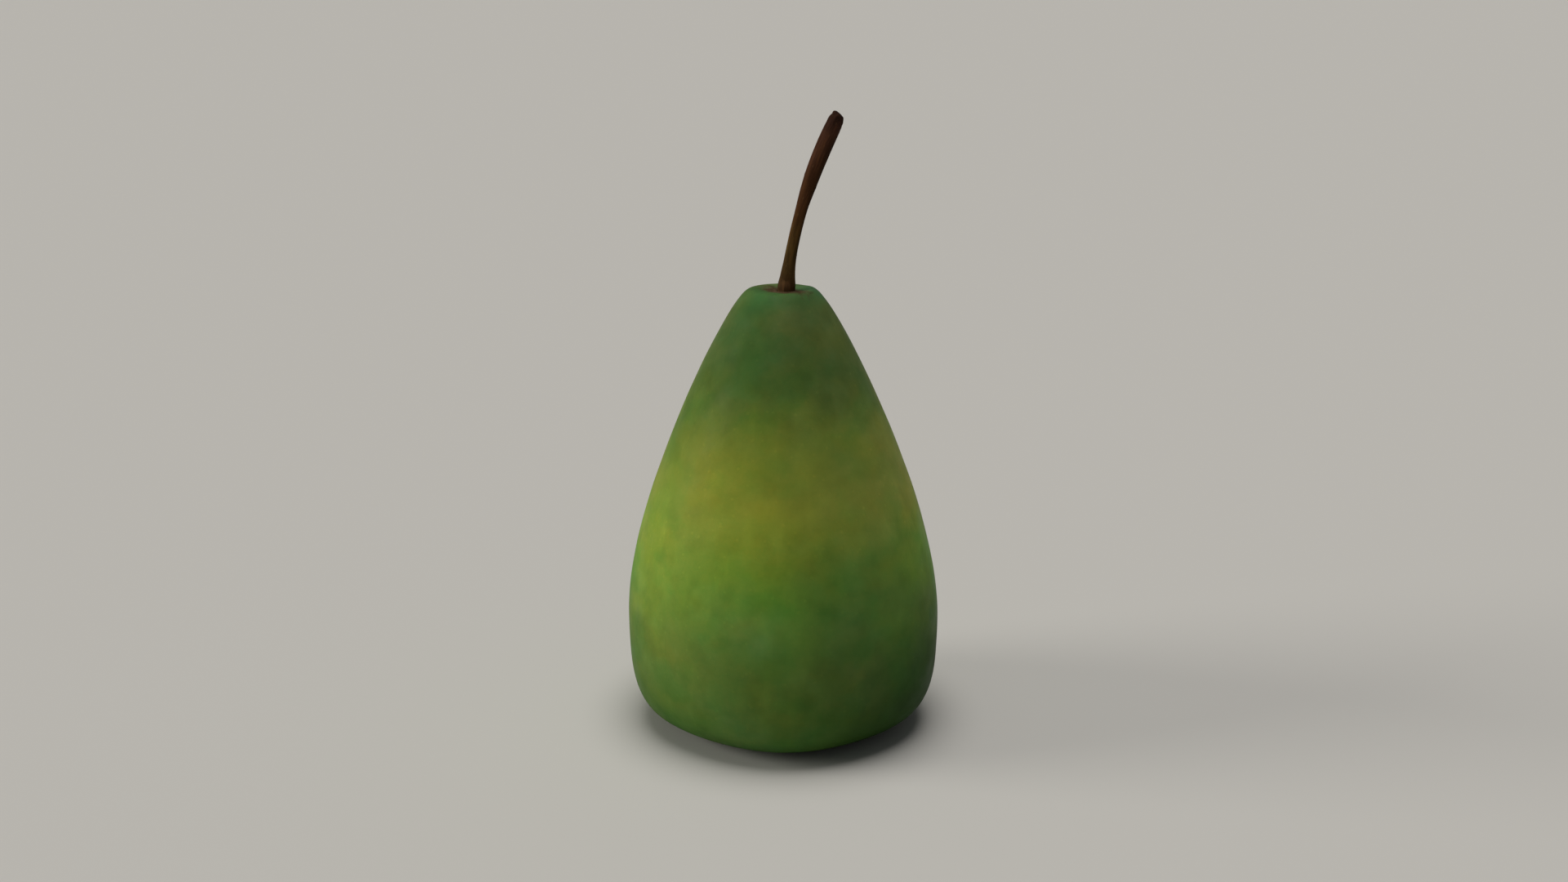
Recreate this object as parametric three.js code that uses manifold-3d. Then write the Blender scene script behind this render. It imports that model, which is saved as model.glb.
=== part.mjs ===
// A green pear, broad and boxy at the base and tapering almost straight to a small flat crown. A woody stem
// rises off centre from a shallow dent in the crown, and the dried calyx sits in the basin underneath.
// Millimetres, +Z up. The pear stands on a flat ring round the basin, and the origin is in that ring's plane,
// under the middle of the belly.
import * as THREE from "three";
import { mergeVertices } from "three/addons/utils/BufferGeometryUtils.js";
import Module from "manifold-3d";

// Driving dimensions of the fruit
const BELLY_RADIUS = 33;
const BELLY_HEIGHT = 23.7;
const SHOULDER_RADIUS = 8.7;
const SHOULDER_HEIGHT = 90.8;
const CROWN_RADIUS = 5.8;
const CROWN_HEIGHT = 92.7;
const FOOT_INNER_RADIUS = 9.5;
const FOOT_OUTER_RADIUS = 12.8;
const BASIN_DEPTH = 6;
const EYE_RADIUS = 3;
const EYE_DEPTH = 3;
const DENT_DEPTH = 0.45;
const SOCKET_RADIUS = 2.2;
const SOCKET_DEPTH = 4.2;
const FRUIT_AROUND = 60;

// The five curves of the fruit's section, from the basin up to the dent in the crown. Each bends towards two
// (radius, height) points between its ends.
const BASIN_CURVE = { steps: 7, towards: [[6.2, BASIN_DEPTH], [8.3, 3.2]] };
const BASE_CURVE = { steps: 14, towards: [[30.6, 0], [BELLY_RADIUS, 3.8]] };
const SIDE_CURVE = { steps: 18, towards: [[BELLY_RADIUS, 45.6], [14.4, 84]] };
const CROWN_CURVE = { steps: 6, towards: [[7.55, 92.35], [7, CROWN_HEIGHT]] };
const DENT_CURVE = { steps: 5, towards: [[4.8, CROWN_HEIGHT], [4, CROWN_HEIGHT - DENT_DEPTH]] };

// How the fruit departs from a turned shape. The first three are shares of the radius: a crossed swell and
// three flats all the way up, and five lobes that die away above the base. The last two lean the neck and
// move the socket.
const CROSSED_SWELL = -0.01;
const THREE_FLATS = -0.007;
const FIVE_LOBES = -0.014;
const LOBE_REACH = 17;
const NECK_LEAN = new THREE.Vector2(-0.2, 0.8);
const SOCKET_SHIFT = 0.75;

// Driving dimensions of the stem: where it runs, from its root in the socket to its tip, and its
// (radius, height) on the way, as if it were straight
const STEM_SPINE = [
  new THREE.Vector3(0.4, 0.8, 88.9),
  new THREE.Vector3(1.1, 0.9, 102),
  new THREE.Vector3(5, 0.4, 115.5),
  new THREE.Vector3(11.3, -0.5, 127.8),
];
const STEM_LENGTH = 40.8;
const STEM_GIRTH = [
  new THREE.Vector2(1.5, 0),
  new THREE.Vector2(1.8, 4),
  new THREE.Vector2(1.48, 6.4),
  new THREE.Vector2(1.2, 9.5),
  new THREE.Vector2(1.14, 14),
  new THREE.Vector2(1.2, 20.5),
  new THREE.Vector2(1.49, 26),
  new THREE.Vector2(1.66, 33),
  new THREE.Vector2(1.65, 37.4),
  new THREE.Vector2(1.52, 39.6),
  new THREE.Vector2(1.1, STEM_LENGTH),
];
const STEM_AROUND = 18;
const STEM_RINGS = 36;
const STEM_RIDGES = 3;
const STEM_RIDGE_SHARE = 0.04;
const STEM_TWIST_PER_MM = 0.05;
const TIP_CUT_SLOPE = 0.22;
const TIP_CUT_LENGTH = 5;

// Driving dimensions of the calyx: a short hollow tube, and sepals that spread from its lip and droop
const CALYX_RADIUS = 2.5;
const CALYX_TOP = BASIN_DEPTH + 2.4;
const CALYX_LIP = 4.4;
const CALYX_EDGE = 0.4;
const CALYX_HOLLOW_RADIUS = 1.7;
const CALYX_HOLLOW_DEPTH = 1.2;
const CALYX_AROUND = 30;
const SEPALS = 5;
const SEPAL_THICKNESS = 0.7;
const SEPAL_START_RADIUS = 1.2;
const SEPAL_START_DROOP = 0.05;
const SEPAL_END_DROOP = 1.15;

// One edge of a sepal laid flat, as (distance along it, half width): its root, two points that the edge bends
// towards, and its tip
const SEPAL_EDGE = {
  root: new THREE.Vector2(0, 1.2),
  towards: [new THREE.Vector2(2.3, 1.9), new THREE.Vector2(4.6, 0.9)],
  tip: new THREE.Vector2(6.6, 0.15),
};

const SKIN = new THREE.MeshStandardMaterial({ color: 0x5f7a2c, roughness: 0.5, metalness: 0 });
const BARK = new THREE.MeshStandardMaterial({ color: 0x3b2718, roughness: 0.85, metalness: 0 });
const DRY_LEAF = new THREE.MeshStandardMaterial({ color: 0x3a2c1c, roughness: 0.95, metalness: 0 });

const UP = new THREE.Vector3(0, 0, 1);
const MERGE_DISTANCE = 1e-3;

const wasm = await Module();
wasm.setup();

function toManifold(geometry) {
  const bare = new THREE.BufferGeometry().setAttribute("position", geometry.getAttribute("position"));
  bare.setIndex(geometry.index);
  const merged = mergeVertices(bare, MERGE_DISTANCE);
  return new wasm.Manifold(
    new wasm.Mesh({
      numProp: 3,
      vertProperties: merged.attributes.position.array,
      triVerts: new Uint32Array(merged.index.array),
    }),
  );
}

function fromManifold(solid) {
  const mesh = solid.getMesh();
  const geometry = new THREE.BufferGeometry();
  geometry.setAttribute("position", new THREE.BufferAttribute(mesh.vertProperties, 3));
  geometry.setIndex(new THREE.BufferAttribute(mesh.triVerts, 1));
  geometry.computeVertexNormals();
  return geometry;
}

// Calls move(vertex) on every vertex of the geometry. move changes the vertex it is given.
function moveVertices(geometry, move) {
  const position = geometry.getAttribute("position");
  const vertex = new THREE.Vector3();
  for (let i = 0; i < position.count; i++) {
    vertex.fromBufferAttribute(position, i);
    move(vertex);
    position.setXYZ(i, vertex.x, vertex.y, vertex.z);
  }
  geometry.computeVertexNormals();
  return geometry;
}

// A turned solid standing on +Z, from a profile of (radius, height) points that starts and ends on the axis.
function turned(profile, around) {
  return new THREE.LatheGeometry(profile, around).rotateX(Math.PI / 2);
}

// The points of one curve of the fruit's section, between its two (radius, height) ends.
function bend(start, curve, end) {
  const points = [start, ...curve.towards, end].map(([radius, height]) => new THREE.Vector2(radius, height));
  return new THREE.CubicBezierCurve(...points).getPoints(curve.steps);
}

// Half of the fruit's section, from the top of the eye under the fruit to the bottom of the stem's socket.
function fruitProfile() {
  const eyeTop = BASIN_DEPTH + EYE_DEPTH;
  const dentFloor = CROWN_HEIGHT - DENT_DEPTH;
  const socketFloor = dentFloor - SOCKET_DEPTH;
  const belly = [BELLY_RADIUS, BELLY_HEIGHT];
  const shoulder = [SHOULDER_RADIUS, SHOULDER_HEIGHT];
  const crown = [CROWN_RADIUS, CROWN_HEIGHT];
  return [
    new THREE.Vector2(0, eyeTop),
    new THREE.Vector2(EYE_RADIUS, eyeTop),
    ...bend([EYE_RADIUS, BASIN_DEPTH], BASIN_CURVE, [FOOT_INNER_RADIUS, 0]),
    ...bend([FOOT_OUTER_RADIUS, 0], BASE_CURVE, belly),
    ...bend(belly, SIDE_CURVE, shoulder).slice(1),
    ...bend(shoulder, CROWN_CURVE, crown).slice(1),
    ...bend(crown, DENT_CURVE, [SOCKET_RADIUS, dentFloor]).slice(1),
    new THREE.Vector2(SOCKET_RADIUS, socketFloor),
    new THREE.Vector2(0, socketFloor),
  ];
}

// Makes a turned fruit look grown: swells and lobes it, leans its neck, and moves the socket off centre.
function growUneven(vertex) {
  const { smoothstep } = THREE.MathUtils;
  const angle = Math.atan2(vertex.y, vertex.x);
  const radius = Math.hypot(vertex.x, vertex.y);
  const lobes = FIVE_LOBES * Math.exp(-((vertex.z / LOBE_REACH) ** 2)) * Math.sin(5 * angle);
  const swell = CROSSED_SWELL * Math.sin(2 * angle) + THREE_FLATS * Math.sin(3 * angle);
  const scale = 1 + smoothstep(radius, EYE_RADIUS, FOOT_OUTER_RADIUS) * (swell + lobes);
  const lean = (vertex.z / CROWN_HEIGHT) ** 2;
  const nearSocket = vertex.z > BELLY_HEIGHT ? 1 - smoothstep(radius, SOCKET_RADIUS, SHOULDER_RADIUS) : 0;
  vertex.x = vertex.x * scale + NECK_LEAN.x * lean + SOCKET_SHIFT * nearSocket;
  vertex.y = vertex.y * scale + NECK_LEAN.y * lean;
}

function fruit() {
  const mesh = new THREE.Mesh(moveVertices(turned(fruitProfile(), FRUIT_AROUND), growUneven), SKIN);
  mesh.name = "fruit";
  return mesh;
}

// The stem is turned straight, ridged and cut aslant at its tip, then bent onto its spine.
function stem() {
  const girth = new THREE.SplineCurve(STEM_GIRTH).getPoints(STEM_RINGS);
  const profile = [new THREE.Vector2(0, 0), ...girth, new THREE.Vector2(0, STEM_LENGTH)];
  const spine = new THREE.CubicBezierCurve3(...STEM_SPINE);
  const geometry = moveVertices(turned(profile, STEM_AROUND), (vertex) => {
    const angle = Math.atan2(vertex.y, vertex.x);
    const ridge = 1 + STEM_RIDGE_SHARE * Math.cos(STEM_RIDGES * angle + STEM_TWIST_PER_MM * vertex.z);
    const cut = THREE.MathUtils.smoothstep(vertex.z, STEM_LENGTH - TIP_CUT_LENGTH, STEM_LENGTH);
    const along = Math.max(vertex.z - TIP_CUT_SLOPE * cut * vertex.x, 0) / STEM_LENGTH;
    const forward = spine.getTangent(Math.min(along, 1));
    const across = new THREE.Vector3(vertex.x * ridge, vertex.y * ridge, 0);
    across.applyQuaternion(new THREE.Quaternion().setFromUnitVectors(UP, forward));
    vertex.copy(spine.getPoint(Math.min(along, 1))).add(across);
    vertex.addScaledVector(forward, Math.max(along - 1, 0) * STEM_LENGTH);
  });
  const mesh = new THREE.Mesh(geometry, BARK);
  mesh.name = "stem";
  return mesh;
}

// One sepal: a pointed blade that leaves the calyx tube almost level and droops out of the basin in an arc.
function sepal(turn) {
  const { root, towards, tip } = SEPAL_EDGE;
  const [near, far] = towards;
  const outline = new THREE.Shape();
  outline.moveTo(root.x, -root.y);
  outline.bezierCurveTo(near.x, -near.y, far.x, -far.y, tip.x, -tip.y);
  outline.lineTo(tip.x, tip.y);
  outline.bezierCurveTo(far.x, far.y, near.x, near.y, root.x, root.y);
  outline.closePath();
  const blade = new THREE.ExtrudeGeometry(outline, {
    depth: SEPAL_THICKNESS,
    bevelEnabled: false,
    curveSegments: 8,
  });
  const droopRate = (SEPAL_END_DROOP - SEPAL_START_DROOP) / tip.x;
  moveVertices(blade, (vertex) => {
    const droop = SEPAL_START_DROOP + droopRate * vertex.x;
    const out = (Math.sin(droop) - Math.sin(SEPAL_START_DROOP)) / droopRate;
    const down = (Math.cos(SEPAL_START_DROOP) - Math.cos(droop)) / droopRate;
    const lift = vertex.z - SEPAL_THICKNESS / 2;
    vertex.x = SEPAL_START_RADIUS + out + lift * Math.sin(droop);
    vertex.z = CALYX_LIP + SEPAL_THICKNESS - down + lift * Math.cos(droop);
  });
  return toManifold(blade.rotateZ(turn));
}

function calyx() {
  const hollowTop = CALYX_LIP + CALYX_HOLLOW_DEPTH;
  const profile = [
    new THREE.Vector2(0, hollowTop),
    new THREE.Vector2(CALYX_HOLLOW_RADIUS - CALYX_EDGE, hollowTop - CALYX_EDGE),
    new THREE.Vector2(CALYX_HOLLOW_RADIUS, CALYX_LIP),
    new THREE.Vector2(CALYX_RADIUS - CALYX_EDGE, CALYX_LIP),
    new THREE.Vector2(CALYX_RADIUS, CALYX_LIP + CALYX_EDGE),
    new THREE.Vector2(CALYX_RADIUS, CALYX_TOP - CALYX_EDGE),
    new THREE.Vector2(CALYX_RADIUS - CALYX_EDGE, CALYX_TOP),
    new THREE.Vector2(0, CALYX_TOP),
  ];
  let solid = toManifold(turned(profile, CALYX_AROUND));
  for (let i = 0; i < SEPALS; i++) {
    solid = solid.add(sepal((i * 2 * Math.PI) / SEPALS));
  }
  const mesh = new THREE.Mesh(fromManifold(solid), DRY_LEAF);
  mesh.name = "calyx";
  return mesh;
}

// The three pieces as grown, moved together so that the fruit's widest outline is centred on the origin.
const grown = new THREE.Group();
grown.add(fruit(), stem(), calyx());
const middle = new THREE.Box3().setFromObject(grown).getCenter(new THREE.Vector3());
grown.position.set(-middle.x, -middle.y, 0);

const pear = new THREE.Group();
pear.add(grown);

export default pear;
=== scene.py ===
import math
import random

import bmesh
import bpy
from mathutils import Matrix, Vector, noise
from mathutils.geometry import interpolate_bezier


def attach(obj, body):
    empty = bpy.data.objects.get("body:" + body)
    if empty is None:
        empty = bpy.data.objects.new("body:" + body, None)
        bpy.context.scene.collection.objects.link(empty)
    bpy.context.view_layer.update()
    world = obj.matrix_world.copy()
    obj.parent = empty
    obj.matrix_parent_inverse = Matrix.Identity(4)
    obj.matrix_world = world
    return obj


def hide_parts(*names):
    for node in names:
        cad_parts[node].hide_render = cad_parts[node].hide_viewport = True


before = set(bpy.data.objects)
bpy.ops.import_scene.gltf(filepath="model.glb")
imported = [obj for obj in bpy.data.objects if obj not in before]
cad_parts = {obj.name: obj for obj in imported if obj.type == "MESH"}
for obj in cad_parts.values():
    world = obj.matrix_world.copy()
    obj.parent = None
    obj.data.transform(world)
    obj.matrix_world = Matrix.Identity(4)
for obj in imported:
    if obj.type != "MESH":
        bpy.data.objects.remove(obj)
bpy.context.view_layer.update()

# ---------------------------------------------------------------------------------------------------------
# Studio
# A plain pale floor before a backdrop of the same tone, a wide soft light low on the left, a wider one
# straight overhead, and a faint light from all round. Both lights are far off, so the floor is evenly lit.
LOOK_AT = Vector((0.00025, 0, 0.0604))
CAMERA_DISTANCE = 0.3434
CAMERA_ELEVATION = math.radians(15.5)
CAMERA_FIELD = math.radians(30)
CAMERA_CLIP_START = 0.01
SENSOR_WIDTH = 36
PICTURE_ASPECT = 1920 / 1080
FLOOR_SIZE = 40
FLOOR_DROP = 0.00005
FLOOR_COLOUR = (0.648, 0.634, 0.607, 1)
BACKDROP_COLOUR = (0.472, 0.455, 0.423, 1)
SKY_COLOUR = (0.095, 0.097, 0.1, 1)
SIDE_LIGHT = {
    "from": (-1.52, -0.08, 0.58),
    "spread": math.radians(28),
    "strength": 1.26,
    "colour": (1, 0.97, 0.9),
}
TOP_LIGHT = {
    "from": (0, 0, 1.8),
    "spread": math.radians(38),
    "strength": 1.6,
    "colour": (1, 0.98, 0.94),
}
# Where a Mix node, which has sockets for numbers, vectors and colours, takes and gives its colours.
MIX_FACTOR = 0
MIX_BELOW = 6
MIX_ABOVE = 7
MIX_RESULT = 2


def stand_at(obj, place, target):
    """Puts a light or camera at a place, facing the target."""
    obj.location = place
    obj.rotation_euler = (target - obj.location).to_track_quat("-Z", "Y").to_euler()
    bpy.context.collection.objects.link(obj)


def add_node(tree, kind, inputs=None, **settings):
    """Adds a shader node. An input that is a socket is linked, and any other value is set."""
    made = tree.nodes.new("ShaderNode" + kind)
    for name, value in settings.items():
        setattr(made, name, value)
    for name, value in (inputs or {}).items():
        if isinstance(value, bpy.types.NodeSocket):
            tree.links.new(value, made.inputs[name])
        else:
            made.inputs[name].default_value = value
    return made


def mix_colour(tree, factor, below, above, blend_type="MIX"):
    """The colour that above gives over below, where factor is a socket or a number."""
    inputs = {MIX_FACTOR: factor, MIX_BELOW: below, MIX_ABOVE: above}
    mix = add_node(tree, "Mix", inputs, data_type="RGBA", blend_type=blend_type)
    return mix.outputs[MIX_RESULT]


def new_material(name, specular):
    """A material that holds one Principled shader, with its node tree and that shader."""
    material = bpy.data.materials.new(name)
    material.use_nodes = True
    shader = material.node_tree.nodes["Principled BSDF"]
    shader.inputs["Specular IOR Level"].default_value = specular
    return material, material.node_tree, shader


def add_piece(name, mesh_maker, material):
    """Makes a bmesh into an object with smooth faces."""
    mesh = bpy.data.meshes.new(name)
    mesh_maker.to_mesh(mesh)
    mesh_maker.free()
    mesh.shade_smooth()
    mesh.materials.append(material)
    piece = bpy.data.objects.new(name, mesh)
    bpy.context.collection.objects.link(piece)
    return piece


camera_back = Vector((0, -math.cos(CAMERA_ELEVATION), math.sin(CAMERA_ELEVATION)))
camera = bpy.data.objects.new("camera", bpy.data.cameras.new("camera"))
camera.data.sensor_width = SENSOR_WIDTH
camera.data.lens = SENSOR_WIDTH / 2 / PICTURE_ASPECT / math.tan(CAMERA_FIELD / 2)
camera.data.clip_start = CAMERA_CLIP_START
stand_at(camera, LOOK_AT + camera_back * CAMERA_DISTANCE, LOOK_AT)
bpy.context.scene.camera = camera
bpy.context.scene.view_settings.view_transform = "Standard"

for light_name, settings in (("side_light", SIDE_LIGHT), ("top_light", TOP_LIGHT)):
    light = bpy.data.lights.new(light_name, "SUN")
    light.angle = settings["spread"]
    light.energy = settings["strength"]
    light.color = settings["colour"]
    stand_at(bpy.data.objects.new(light_name, light), settings["from"], LOOK_AT)

sky = bpy.data.worlds.new("sky")
sky.use_nodes = True
sky_shader = sky.node_tree.nodes["Background"]
seen = add_node(sky.node_tree, "LightPath").outputs["Is Camera Ray"]
sky_colour = mix_colour(sky.node_tree, seen, SKY_COLOUR, BACKDROP_COLOUR)
sky.node_tree.links.new(sky_colour, sky_shader.inputs["Color"])
bpy.context.scene.world = sky

floor_paint, _, floor_shader = new_material("floor_paint", specular=0)
floor_shader.inputs["Base Color"].default_value = FLOOR_COLOUR
floor_shader.inputs["Roughness"].default_value = 1
floor_maker = bmesh.new()
bmesh.ops.create_grid(floor_maker, x_segments=1, y_segments=1, size=FLOOR_SIZE / 2)
bmesh.ops.translate(floor_maker, vec=(0, 0, -FLOOR_DROP), verts=floor_maker.verts)
floor = add_piece("floor", floor_maker, floor_paint)

# ---------------------------------------------------------------------------------------------------------
# Fruit
# Flesh and waxy skin, grown as one piece round the core: a broad boxy base, a neck that tapers almost
# straight, a small flat crown with a dent that the stem stands in, and a basin underneath round the calyx.
BELLY_RADIUS = 0.033
BELLY_HEIGHT = 0.0237
SHOULDER_RADIUS = 0.0087
SHOULDER_HEIGHT = 0.0908
CROWN_RADIUS = 0.0058
CROWN_HEIGHT = 0.0927
DENT_RADIUS = 0.0024
DENT_DEPTH = 0.00045
DENT_FLOOR = CROWN_HEIGHT - DENT_DEPTH
SOCKET_RADIUS = 0.0014
SOCKET_LIP = 0.0003
SOCKET_DEPTH = 0.0036
FOOT_RADIUS = 0.0111
BASIN_RADIUS = 0.0092
BASIN_LIP = 0.0008
BASIN_DEPTH = 0.006
BASIN_TOP_RADIUS = 0.0044
BASIN_TOP_HEIGHT = 0.0059
EYE_RADIUS = 0.003
EYE_LIP = 0.0007
EYE_DEPTH = 0.003
# The rounded corner between the eye's end and its wall, in shares of its radius and depth.
EYE_CORNER = [(0.8, 0), (0.95, 0.1), (1, 0.4)]
FRUIT_AROUND = 256
MERGE_DISTANCE = 1e-7

# The curves of the fruit's section, from the eye underneath up to the socket. Each bends towards two
# (radius, height) points between its ends.
EYE_CURVE = {"steps": 6, "towards": [(EYE_RADIUS, BASIN_DEPTH), (0.0034, BASIN_DEPTH)]}
BASIN_CURVE = {"steps": 18, "towards": [(0.0068, 0.0057), (0.0078, 0.0028)]}
FOOT_CURVE = {"steps": 8, "towards": [(0.0097, 0.0002), (0.0102, 0)]}
BASE_CURVE = {"steps": 64, "towards": [(0.0301, 0), (BELLY_RADIUS, 0.0038)]}
SIDE_CURVE = {"steps": 110, "towards": [(BELLY_RADIUS, 0.0456), (0.0144, 0.084)]}
CROWN_CURVE = {"steps": 14, "towards": [(0.00755, 0.09235), (0.007, CROWN_HEIGHT)]}
DENT_CURVE = {"steps": 14, "towards": [(0.0048, CROWN_HEIGHT), (0.004, DENT_FLOOR)]}
SOCKET_CURVE = {"steps": 8, "towards": [(0.0021, DENT_FLOOR + 0.0001), (0.0017, DENT_FLOOR + 0.0001)]}

# How the fruit departs from a turned shape. The first three are shares of the radius: a crossed swell and
# three flats all the way up, and five lobes that die away above the base. The last two lean the neck and
# move the socket.
CROSSED_SWELL = -0.01
THREE_FLATS = -0.007
FIVE_LOBES = -0.014
LOBE_REACH = 0.017
NECK_LEAN = Vector((-0.0002, 0.0008, 0))
SOCKET_SHIFT = 0.00075

# Relief under the fullest outline. Broad hollows and dimples are (waves per metre, depth), and the folds
# that pucker the crown and the basin are (how many, depth, waver). The relief fades in above the foot. The
# crown's folds fade in and out over two bands of radii, and the basin's fade out over a band of radii and
# one of heights.
BROAD_HOLLOWS = (42, 0.00026)
DIMPLES = (150, 0.00008)
RELIEF_HEIGHTS = (0, 0.004)
CROWN_FOLDS = (7, 0.00016, 4)
CROWN_FOLDS_START = (0.0026, 0.0045)
CROWN_FOLDS_END = (0.005, 0.009)
BASIN_FOLDS = (10, 0.0003, 2)
BASIN_FOLDS_END = (0.0035, 0.0105)
BASIN_FOLDS_TOP = (0.006, 0.012)
FOLD_WAVER_SCALE = 230


def bend(start, curve, end):
    """Points of one curve of the section, between two (radius, height) ends and without the last one."""
    corners = [Vector((radius, 0, height)) for radius, height in (start, *curve["towards"], end)]
    return interpolate_bezier(*corners, curve["steps"] + 1)[:-1]


def spin_profile(profile, around):
    """A closed turned body from a profile of points whose first and last are on the axis."""
    maker = bmesh.new()
    points = [maker.verts.new(point) for point in profile]
    edges = [maker.edges.new(pair) for pair in zip(points, points[1:])]
    bmesh.ops.spin(
        maker,
        geom=points + edges,
        cent=(0, 0, 0),
        axis=(0, 0, 1),
        dvec=(0, 0, 0),
        angle=2 * math.pi,
        steps=around,
        use_merge=True,
    )
    bmesh.ops.remove_doubles(maker, verts=maker.verts, dist=MERGE_DISTANCE)
    bmesh.ops.recalc_face_normals(maker, faces=maker.faces)
    return maker


def smooth_step(value, low, high):
    """0 up to low, 1 from high, and an even rise between them."""
    share = min(max((value - low) / (high - low), 0), 1)
    return share * share * (3 - 2 * share)


def grow_uneven(point):
    """Where a point of the turned fruit ends up once the fruit is swollen, lobed and leaning."""
    angle = math.atan2(point.y, point.x)
    radius = math.hypot(point.x, point.y)
    lobes = FIVE_LOBES * math.exp(-((point.z / LOBE_REACH) ** 2)) * math.sin(5 * angle)
    swell = CROSSED_SWELL * math.sin(2 * angle) + THREE_FLATS * math.sin(3 * angle)
    scale = 1 + smooth_step(radius, EYE_RADIUS, FOOT_RADIUS) * (swell + lobes)
    near_socket = 1 - smooth_step(radius, SOCKET_RADIUS, SHOULDER_RADIUS) if point.z > BELLY_HEIGHT else 0
    lean = (point.z / CROWN_HEIGHT) ** 2
    across = Vector((point.x * scale + SOCKET_SHIFT * near_socket, point.y * scale, point.z))
    return across + NECK_LEAN * lean


def share_of_wave(wave):
    """A wave from -1 to 1 as a share from 0 to 1."""
    return 0.5 + 0.5 * wave


def fold_depth(point, folds):
    """How deep a ring of folds runs at a point, before it dies away."""
    count, depth, waver = folds
    angle = math.atan2(point.y, point.x)
    wavering = waver * noise.noise(point * FOLD_WAVER_SCALE)
    return depth * share_of_wave(math.sin(count * angle + wavering))


def hollow_depth(point, hollows):
    """How deep the hollows of one size run at a point."""
    scale, depth = hollows
    return depth * share_of_wave(noise.noise(point * scale))


def skin_relief(point):
    """How far the skin lies under its fullest outline. The foot that the pear rests on keeps none."""
    radius = math.hypot(point.x, point.y)
    relief = hollow_depth(point, BROAD_HOLLOWS) + hollow_depth(point, DIMPLES)
    relief *= smooth_step(point.z, *RELIEF_HEIGHTS)
    if point.z > BELLY_HEIGHT:
        ring = smooth_step(radius, *CROWN_FOLDS_START) * (1 - smooth_step(radius, *CROWN_FOLDS_END))
        return relief + ring * fold_depth(point, CROWN_FOLDS)
    ring = (1 - smooth_step(radius, *BASIN_FOLDS_END)) * (1 - smooth_step(point.z, *BASIN_FOLDS_TOP))
    return relief + ring * fold_depth(point, BASIN_FOLDS)


eye_top = BASIN_DEPTH + EYE_DEPTH
eye_edge = (EYE_RADIUS, BASIN_DEPTH + EYE_LIP)
basin_top = (BASIN_TOP_RADIUS, BASIN_TOP_HEIGHT)
basin_edge = (BASIN_RADIUS, BASIN_LIP)
foot = (FOOT_RADIUS, 0)
belly = (BELLY_RADIUS, BELLY_HEIGHT)
shoulder = (SHOULDER_RADIUS, SHOULDER_HEIGHT)
crown = (CROWN_RADIUS, CROWN_HEIGHT)
dent = (DENT_RADIUS, DENT_FLOOR)
socket_edge = (SOCKET_RADIUS, DENT_FLOOR - SOCKET_LIP)
outside = [
    *bend(foot, BASE_CURVE, belly),
    *bend(belly, SIDE_CURVE, shoulder),
    *bend(shoulder, CROWN_CURVE, crown),
]
fruit_profile = [
    Vector((0, 0, eye_top)),
    *[Vector((EYE_RADIUS * out, 0, eye_top - EYE_DEPTH * down)) for out, down in EYE_CORNER],
    *bend(eye_edge, EYE_CURVE, basin_top),
    *bend(basin_top, BASIN_CURVE, basin_edge),
    *bend(basin_edge, FOOT_CURVE, foot),
    *outside,
    *bend(crown, DENT_CURVE, dent),
    *bend(dent, SOCKET_CURVE, socket_edge),
    Vector((SOCKET_RADIUS, 0, DENT_FLOOR - SOCKET_DEPTH)),
    Vector((0, 0, DENT_FLOOR - SOCKET_DEPTH)),
]
fruit_maker = spin_profile(fruit_profile, FRUIT_AROUND)
for vert in fruit_maker.verts:
    vert.co = grow_uneven(vert.co)
fruit_xs = [vert.co.x for vert in fruit_maker.verts]
fruit_ys = [vert.co.y for vert in fruit_maker.verts]
to_origin = Vector((-(min(fruit_xs) + max(fruit_xs)) / 2, -(min(fruit_ys) + max(fruit_ys)) / 2, 0))
fruit_maker.normal_update()
sunk = [vert.co - vert.normal * skin_relief(vert.co) + to_origin for vert in fruit_maker.verts]
for vert, place in zip(fruit_maker.verts, sunk):
    vert.co = place


def paint(code):
    """The linear colour of a six-digit hex code, by the usual sRGB curve."""
    channels = [int(code[i : i + 2], 16) / 255 for i in (0, 2, 4)]
    linear = [c / 12.92 if c <= 0.04045 else ((c + 0.055) / 1.055) ** 2.4 for c in channels]
    return (*linear, 1)


def noise_at(tree, place, scale, detail=2, roughness=0.5):
    """A soft noise, 0 to 1, with its features about 1 / scale metres across."""
    inputs = {"Vector": place, "Scale": scale, "Detail": detail, "Roughness": roughness}
    return add_node(tree, "TexNoise", inputs)


def remap(tree, value, low, high, to_low=0, to_high=1, shape="SMOOTHSTEP"):
    """value between low and high, spread over to_low to to_high and held there outside."""
    inputs = {"Value": value, "From Min": low, "From Max": high, "To Min": to_low, "To Max": to_high}
    return add_node(tree, "MapRange", inputs, interpolation_type=shape).outputs["Result"]


def calc(tree, operation, *values):
    """One sum on sockets or numbers."""
    return add_node(tree, "Math", dict(enumerate(values)), operation=operation).outputs[0]


def calc_vector(tree, operation, *values, output="Vector"):
    """One sum on vectors."""
    return add_node(tree, "VectorMath", dict(enumerate(values)), operation=operation).outputs[output]


def shifted(tree, place, offset, stretch=(1, 1, 1)):
    """The same place moved and stretched, so that a second noise there doesn't repeat the first."""
    inputs = {"Vector": place, "Location": offset, "Scale": stretch}
    return add_node(tree, "Mapping", inputs).outputs["Vector"]


def wandering(tree, distance, cloud, reach):
    """A distance pushed up or down by a cloudy noise, by up to half of reach."""
    push = calc(tree, "SUBTRACT", cloud, NOISE_MIDDLE)
    return calc(tree, "MULTIPLY_ADD", push, reach, distance)


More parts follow.
